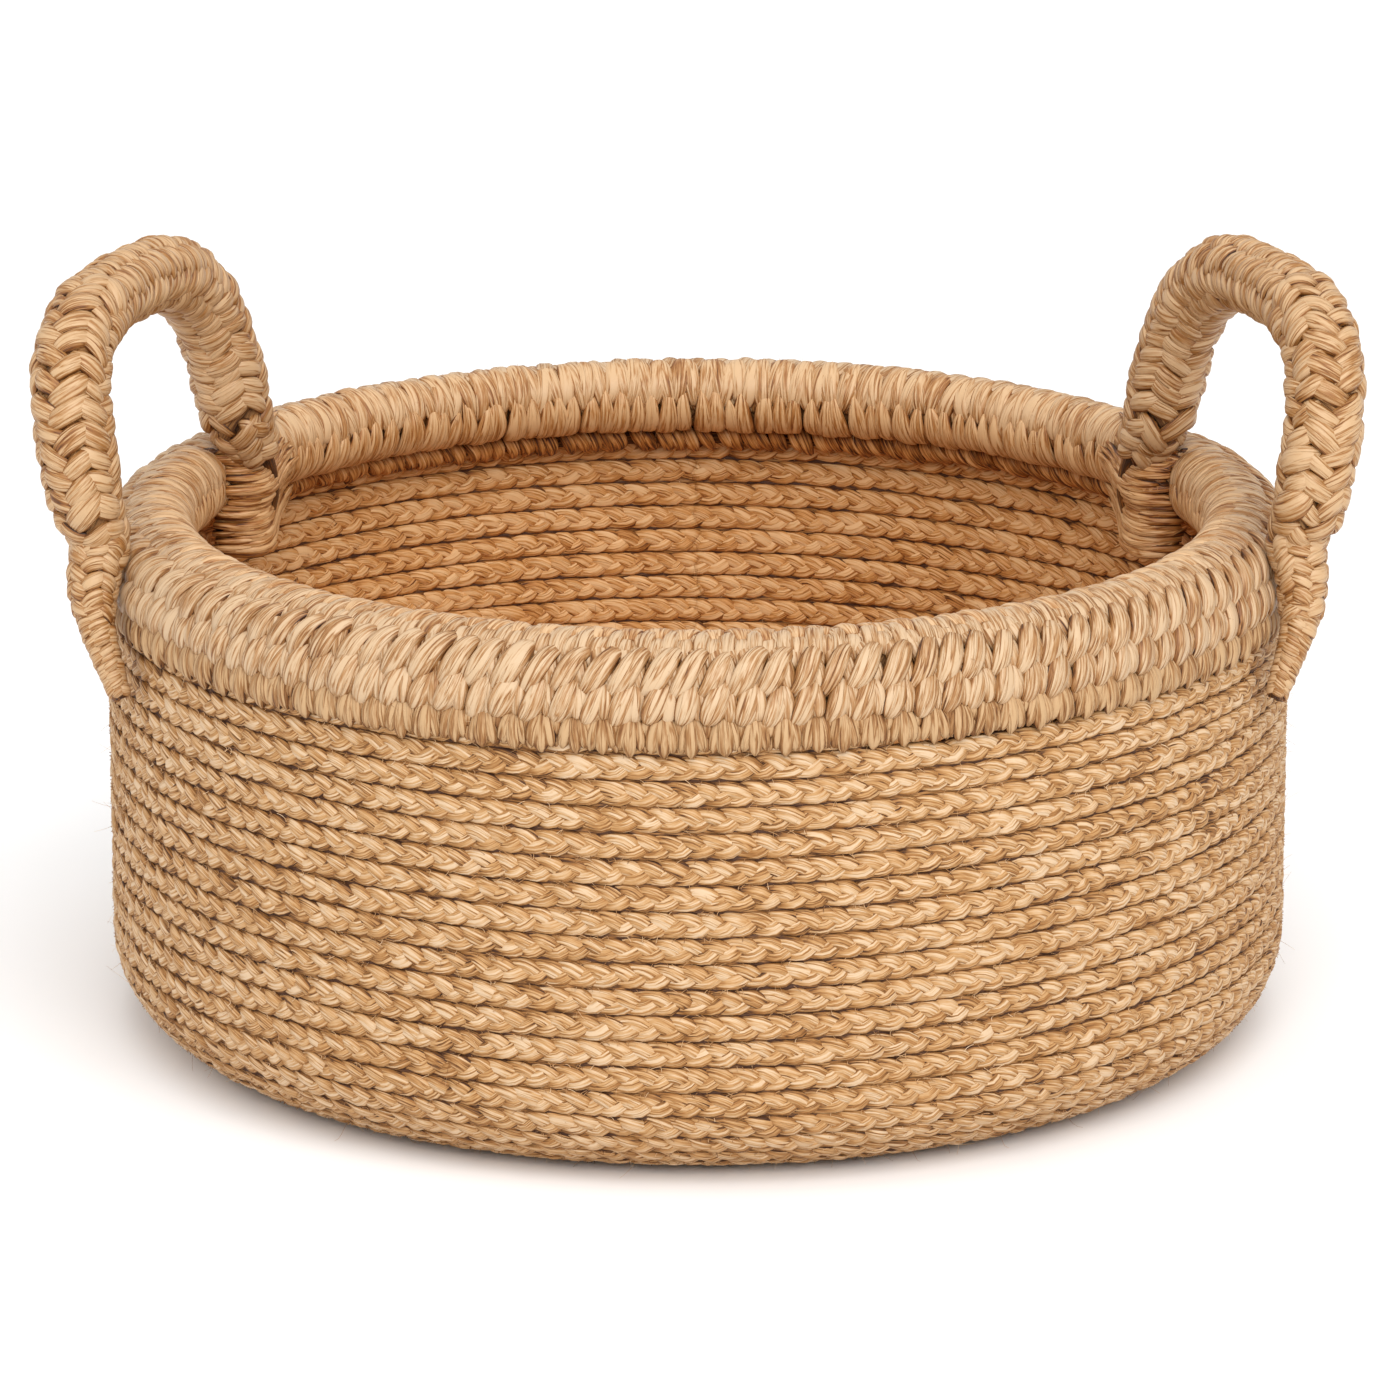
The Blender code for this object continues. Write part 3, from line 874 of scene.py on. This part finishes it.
class Handle:
    """The middle line, radius and cross directions of one handle."""

    def __init__(self, side):
        self.side = side
        front = about_axis(side, *FRONT_FOOT, HINGE_HEIGHT)
        back = about_axis(side, *BACK_FOOT, HINGE_HEIGHT)
        along = unit(back - front)
        half_span = np.linalg.norm(back - front) / 2
        outward = np.array([side * along[1], -side * along[0], 0.0])
        upward = UPWARD * cos(LEAN) + outward * sin(LEAN)
        normal = outward * cos(LEAN) - UPWARD * sin(LEAN)
        middle = (front + back) / 2
        legs = [self.leg(end, half_span) for end in (-1, 1)]
        flat = legs[0] + self.arch() + legs[1][::-1]
        tails = [
            [about_axis(side, r, foot[1] + radians(t), z) for r, t, z, _ in tail]
            for foot, tail in ((FRONT_FOOT, FRONT_TAIL), (BACK_FOOT, BACK_TAIL))
        ]
        points = np.array(tails[0] + [middle + along * x + upward * z for x, z in flat] + tails[1])
        thickness = [[w for *_, w in tail] for tail in (FRONT_TAIL, BACK_TAIL)]
        radii = np.array(thickness[0] + [0.0] * len(flat) + thickness[1])
        steps = np.linalg.norm(np.diff(points, axis=0), axis=1)
        walked = np.concatenate([[0], np.cumsum(steps)])
        inside = slice(len(FRONT_TAIL), len(points) - len(BACK_TAIL))
        self.first = walked[inside][0]
        self.last = walked[inside][-1]
        from_end = np.minimum(walked[inside] - self.first, self.last - walked[inside])
        radii[inside] = END_RADIUS + (ROPE_RADIUS - END_RADIUS) * smooth(from_end / TAPER)
        self.length = walked[-1]
        self.stations = np.linspace(0, self.length, 700)
        line = np.stack([np.interp(self.stations, walked, points[:, i]) for i in range(3)], -1)
        bell = np.exp(-np.linspace(-2, 2, 19) ** 2)
        bell /= bell.sum()
        padded = np.concatenate([2 * line[:1] - line[9:0:-1], line, 2 * line[-1:] - line[-2:-11:-1]])
        self.line = np.stack([np.convolve(padded[:, i], bell, "valid") for i in range(3)], -1)
        self.radius = np.interp(self.stations, walked, radii)
        tangent = unit(np.gradient(self.line, axis=0))
        self.out = unit(normal - (tangent @ normal)[:, None] * tangent)
        self.fore = np.cross(self.out, tangent) * side

    def leg(self, end, half_span):
        """From a foot up to where the arch springs, in the loop's plane."""
        heights = np.linspace(0.0, LOOP_SPRING, 7)[:-1]
        ease = smooth(heights / LOOP_SPRING)
        edge = LOOP_SHIFT + end * LOOP_HALF_WIDTH
        return list(zip(end * half_span * (1 - ease) + edge * ease, heights))

    def arch(self):
        points = []
        for turn in np.linspace(0, pi, 61):
            reach = abs(cos(turn)) ** (2 / ARCH_EXPONENT)
            across = LOOP_HALF_WIDTH * (reach if turn > pi / 2 else -reach)
            climb = max(sin(turn), 0.0) ** (2 / ARCH_EXPONENT)
            points.append((LOOP_SHIFT + across, LOOP_SPRING + (LOOP_RISE - LOOP_SPRING) * climb))
        return points

    def stitches(self, skein, s, gamma, steps, width, depth, lean, side=1, thin=1.0, **look):
        """A leaf at every s; steps are (share of lean along, degrees on, lift in mm)."""
        controls = [
            np.stack([s + lean * x, gamma + side * y + 0 * s, z * MM * thin + 0 * s], -1)
            for x, y, z in steps
        ]
        controls = np.stack(controls, axis=1)
        leaves(skein, self.on_rope, np.zeros((len(s), 3)), controls, width, depth, **look)

    def core_inside(self, inside, skein, radius, tone):
        """One plain strand that fills a foot behind its stitches."""
        line = self.line[inside][::6]
        out = self.out[inside][::6]
        size = radius[inside][::6]
        skein.add(line[None], out[None], size[None], size[None], 10, tone, 0.3)

    def on_rope(self, s, gamma, lift):
        """A place on the cover: s along the rope, gamma in degrees from the outer side."""
        def at(values):
            if values.ndim == 1:
                return np.interp(s, self.stations, values)
            return np.stack([np.interp(s, self.stations, values[:, i]) for i in range(3)], -1)

        turn = np.radians(gamma)[..., None]
        outward = at(self.out) * np.cos(turn) + at(self.fore) * np.sin(turn)
        reach = at(self.radius) - COVER_DEPTH + lift
        return at(self.line) + outward * reach[..., None], unit(outward)


handles = {"left_handle": Handle(-1), "right_handle": Handle(1)}
for name, handle in handles.items():
    top = handle.line[np.argmax(handle.line[:, 2])]
    print(name, "rope", round(handle.length, 4), "m, top at", np.round(top, 4))

# %% [markdown]
# ## Stitched handle covers
# The cover is crochet worked round the rope. Each limb has four columns of V stitches,
# pairs of leaves that meet on the column's middle line, and neighbouring columns lock
# together half a stitch apart. Over the arch the stitches are small and slant to and
# fro in seven columns. The cover has to bend where the loop tilts, so it blends from the
# basket to the loop over the first centimetres above the rim.

# %% Handle covers
ARCH_HALF = 26 * MM
ARCH_COLUMNS = 7
ARCH_STEP = 4.5 * MM


def stitch_places(handle, start, end, offset):
    """Even stitches along the rope, longer near the front foot than on the arch."""
    places, sizes, s = [], [], start
    span = handle.last - handle.first
    while s < end:
        share = (s - handle.first) / span
        size = np.interp(share, (0.0, 0.2, 0.45, 0.75, 1.0), (7.9, 7.3, 5.6, 6.2, 6.8)) * MM
        places.append(s + offset * size)
        sizes.append(size)
        s += size
    return np.array(places), np.array(sizes)


def handle_cover(name, handle):
    cover = Skein(f"{name}_stitches")
    top = (handle.first + handle.last) / 2
    for column in range(4):
        for side in (-1, 1):
            offset = 0.5 * (column % 2) + 0.25 * side
            s, size = stitch_places(handle, handle.first - 7 * MM, handle.last + 3 * MM, offset)
            limb = np.abs(s - top) > ARCH_HALF
            s, size = s[limb], size[limb]
            thin = np.interp(s, handle.stations, handle.radius) / ROPE_RADIUS
            size = size * thin
            handle.stitches(
                cover, s, 90.0 * column,
                ((-0.46, 58, -0.6), (-0.36, 46, 2.0), (0.20, 16, 2.2), (0.54, -14, -0.5)),
                (0.56 * size)[:, None], (2.5 * MM * thin)[:, None], np.sign(s - top) * size,
                side, thin, rings=12, sides=14, shift=(1.0 * MM, 7.0, 0.35 * MM),
                crown=(0.2, 0.9, 0.2), size_change=0.12, start=0.5, end=0.4,
            )
    for column in range(ARCH_COLUMNS):
        s = np.arange(top - ARCH_HALF - 3 * MM, top + ARCH_HALF + 3 * MM, ARCH_STEP)
        s = s + 2.2 * MM * (column % 2)
        handle.stitches(
            cover, s, 360.0 / ARCH_COLUMNS * column,
            ((-1, -36, -0.5), (-0.4, -16, 1.8), (0.4, 16, 1.8), (1, 36, -0.5)),
            2.4 * MM, 2.0 * MM, (1 if column % 2 else -1) * 2.3 * MM, rings=10,
            shift=(0.6 * MM, 5.0, 0.3 * MM), crown=(0.2, 0.9, 0.2), size_change=0.12,
            start=0.5, end=0.4,
        )
    return cover.piece(handle_jute, "stitched_jute", (f"{name}_cover",), body=None)


def handle_core(name, handle):
    core = Skein(f"{name}_core")
    inside = (handle.stations > handle.first - 4 * MM) & (handle.stations < handle.last + 4 * MM)
    s = handle.stations[inside][::4]
    for strand in range(6):
        gamma = 60.0 * strand + (s - s[0]) * 9000
        middle, outward = handle.on_rope(s, gamma, np.full(len(s), -1.6 * MM))
        core.add(middle[None], outward[None], 3.4 * MM, 3.0 * MM, 8, 0.4, 0.3)
    return core.piece(raw_jute, "raw_jute", (f"{name}_rope",), body=None)


for name, handle in handles.items():
    for made in (handle_cover(name, handle), handle_core(name, handle)):
        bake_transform(made)

# %% [markdown]
# ## Feet
# The front foot is the tail of the cover, sewn down the outside of the wall and drawn in
# to a narrow tip: V stitches above and close slanting turns below. The back foot is
# bound against the inside of the rim by level turns of cord that sweep off along the
# roll, in two layers.

# %% Feet
FOOT_STITCH = 5.6 * MM


def front_foot(name, handle):
    foot = Skein(f"{name}_front_foot_stitches")
    for column in range(4):
        for side in (-1, 1):
            s = np.arange(0.55 * handle.first, handle.first + 1 * MM, FOOT_STITCH)
            s = s + (0.5 * (column % 2) + 0.25 * side) * FOOT_STITCH
            handle.stitches(
                foot, s, 90.0 * column,
                ((0.42, 60, -0.5), (0.30, 46, 1.6), (-0.16, 16, 1.8), (-0.46, -14, -0.4)),
                3.1 * MM, 1.8 * MM, FOOT_STITCH, side, shift=(0.7 * MM, 6.0, 0.3 * MM),
                crown=(0.2, 0.85, 0.2), start=0.5, end=0.4,
            )
    for number, centre in enumerate((0, 180, 60, -60, 120, -120)):
        s = np.arange(2.0 * MM + 0.9 * MM * (number % 3), 0.62 * handle.first, 3.0 * MM)
        handle.stitches(
            foot, s, centre, ((1, -58, -0.4), (0.4, -24, 1.3), (-0.4, 24, 1.3), (-1, 58, -0.4)),
            2.1 * MM, 1.5 * MM, (1 if number % 2 else -1) * 1.3 * MM,
            shift=(0.5 * MM, 5.0, 0.2 * MM), crown=(0.3, 0.8, 0.3), start=0.6, end=0.5,
        )
    handle.core_inside(handle.stations < handle.first, foot, handle.radius - 2.2 * MM, 0.4)
    return foot.piece(handle_jute, "stitched_jute", (f"{name}_front_foot", f"{name}_front_whipping"))


def back_foot(name, handle):
    """Level turns of cord that start in the crease beside the roll and fade out along it."""
    side = handle.side
    azimuth = np.degrees(BACK_FOOT[1])

    def inside_rim(degrees, height, reach):
        """A place inside the rim: reach is how far it stands in front of the roll."""
        angle = np.radians(degrees) if side > 0 else pi - np.radians(degrees)
        from_middle = np.clip((height - ROLL_HEIGHT) / ROLL_SKIN, -0.75, 0.95)
        skin = ROLL_RADIUS - ROLL_SKIN * np.sqrt(1 - from_middle**2)
        radial = spoke(angle)
        middle = radial * (skin - reach)[..., None] + UPWARD * height[..., None]
        return middle, -radial

    foot = Skein(f"{name}_back_foot_binding")
    for layer, (long, count, drop) in enumerate(((13.5, 17, 0.0), (7.5, 16, 1.1 * MM))):
        height = np.linspace(0.1900, 0.1535, count) - drop
        low = np.clip((0.178 - height) / 0.022, 0, 1)
        belly = (14.0 + 5.0 * low - 1.2 * layer) * MM
        rise = (2.0 + 5.0 * low) * MM
        steps = (
            (-3.3, 0.0, 2.0 * MM), (-3.6, 0.0, belly + 5 * MM), (0.6, 0.0, belly + 5 * MM),
            (0.5 * long, 0.4, 8.5 * MM), (long, 1.0, 2.2 * MM),
        )
        controls = [
            np.stack([azimuth + degrees + 0 * height, height + up * rise, reach + 0 * height], -1)
            for degrees, up, reach in steps
        ]
        controls = np.stack(controls, axis=1)
        # inner paints bounce light on the binding inside the rim
        leaves(foot, inside_rim, np.zeros((count, 3)), controls, 1.75 * MM, 1.5 * MM, belly=0.4,
               rings=20, sides=12, shift=(0.35, 0.35 * MM, 0.4 * MM), tone=0.2, crown=(0.1, 0.9, 0.5),
               start=0.7, inner=0.6)
    handle.core_inside(handle.stations > handle.last - 2 * MM, foot, handle.radius * 0.6, 0.5)
    return foot.piece(handle_jute, "stitched_jute", (f"{name}_back_foot", f"{name}_back_whipping"))


for name, handle in handles.items():
    front_foot(name, handle)
    back_foot(name, handle)

# %% [markdown]
# ## Seam threads and loose fibres
# Jute is hairy. Short threads cross the seams where the courses are sewn together, and
# fine fibres stand out of the weave everywhere. They are thin tubes with three or four
# sides.

# %% Loose fibres
threads = Skein("seam_threads")
seams = np.round(rng.uniform(BASE_TURNS + 1, 38, 3600))
angle = rng.uniform(0, 2 * pi, len(seams))
course = seams + ((angle + pi / 2 + pi) % (2 * pi) - pi) / (2 * pi)
outward, upward, centre = on_wall(angle, *profile(course))
tangential = spoke(angle + pi / 2)
t = np.linspace(-1, 1, 6)
lean = rng.normal(0, 1.2, len(angle))
reach = rng.uniform(0.5, 1.2, len(angle)) * MM
rise = (1.9 + 0.9 * (t**2))[None] * MM
middle = (
    centre[:, None]
    + upward[:, None] * (t[None] * reach[:, None])[..., None]
    + tangential[:, None] * (t[None] * (reach * lean)[:, None])[..., None]
    + outward[:, None] * rise[..., None]
)
threads.add(
    middle, np.broadcast_to(outward[:, None], middle.shape), 0.11 * MM, 0.11 * MM, 4,
    rng.uniform(0.0, 0.6, (len(angle), 1)), 0.3,
)
threads.piece(hair_jute, "plait")


def fuzz(name, roots, outward, count, length, thick):
    """Loose fibres that start on a surface, lift off and curl away."""
    picked = rng.integers(0, len(roots), count)
    root, out = roots[picked], unit(outward[picked])
    way = rng.normal(0, 1, (count, 3))
    way = unit(way - (way * out).sum(-1, keepdims=True) * out)
    side = np.cross(out, way)
    long = np.minimum(rng.gamma(3.0, length / 3.0, count), 2 * length)[:, None]
    t = np.linspace(0, 1, 6)[None]
    lift = long * t * rng.uniform(0.05, 0.55, (count, 1))
    curl = rng.normal(0, 0.5, (count, 1)) * long * t**2
    middle = (
        root[:, None]
        + way[:, None] * (long * t)[..., None]
        + side[:, None] * curl[..., None]
        + out[:, None] * lift[..., None]
    )
    middle[..., 2] = np.maximum(middle[..., 2], 0.3 * MM)
    skein = Skein(name)
    width = thick * (1 - 0.6 * t)
    skein.add(middle, np.broadcast_to(out[:, None], middle.shape), width, width, 3,
              rng.uniform(0.2, 1.0, (count, 1)), 0.6)
    return skein


def face_samples(names):
    """Middle points and normals of every seventh face of some pieces."""
    points, normals = [], []
    for name in names:
        data = bpy.data.objects[name].data
        centre = np.empty(len(data.polygons) * 3, np.float32)
        data.polygons.foreach_get("center", centre)
        normal = np.empty(len(data.polygons) * 3, np.float32)
        data.polygons.foreach_get("normal", normal)
        points.append(centre.reshape(-1, 3)[::7])
        normals.append(normal.reshape(-1, 3)[::7])
    return np.concatenate(points), np.concatenate(normals)


wall_names = [o.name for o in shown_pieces() if o.name.startswith(("wall_plait", "corner_plait"))]
points, normals = face_samples(wall_names)
outer = (normals[:, :2] * points[:, :2]).sum(1) > 0.05
fuzz("wall_fuzz", points[outer], normals[outer], 5200, 4.5 * MM, 0.08 * MM).piece(hair_jute, "plait")
inner = (normals[:, :2] * points[:, :2]).sum(1) < -0.05
fuzz("inside_fuzz", points[inner], normals[inner], 2600, 5 * MM, 0.08 * MM).piece(hair_jute, "plait")
rim_names = ["rim_outer_stitches", "rim_top_loops", "rim_inner_stitches", "collar_shells"]
points, normals = face_samples(rim_names)
fuzz("rim_fuzz", points, normals, 2600, 4 * MM, 0.075 * MM).piece(hair_jute, "stitched_jute")
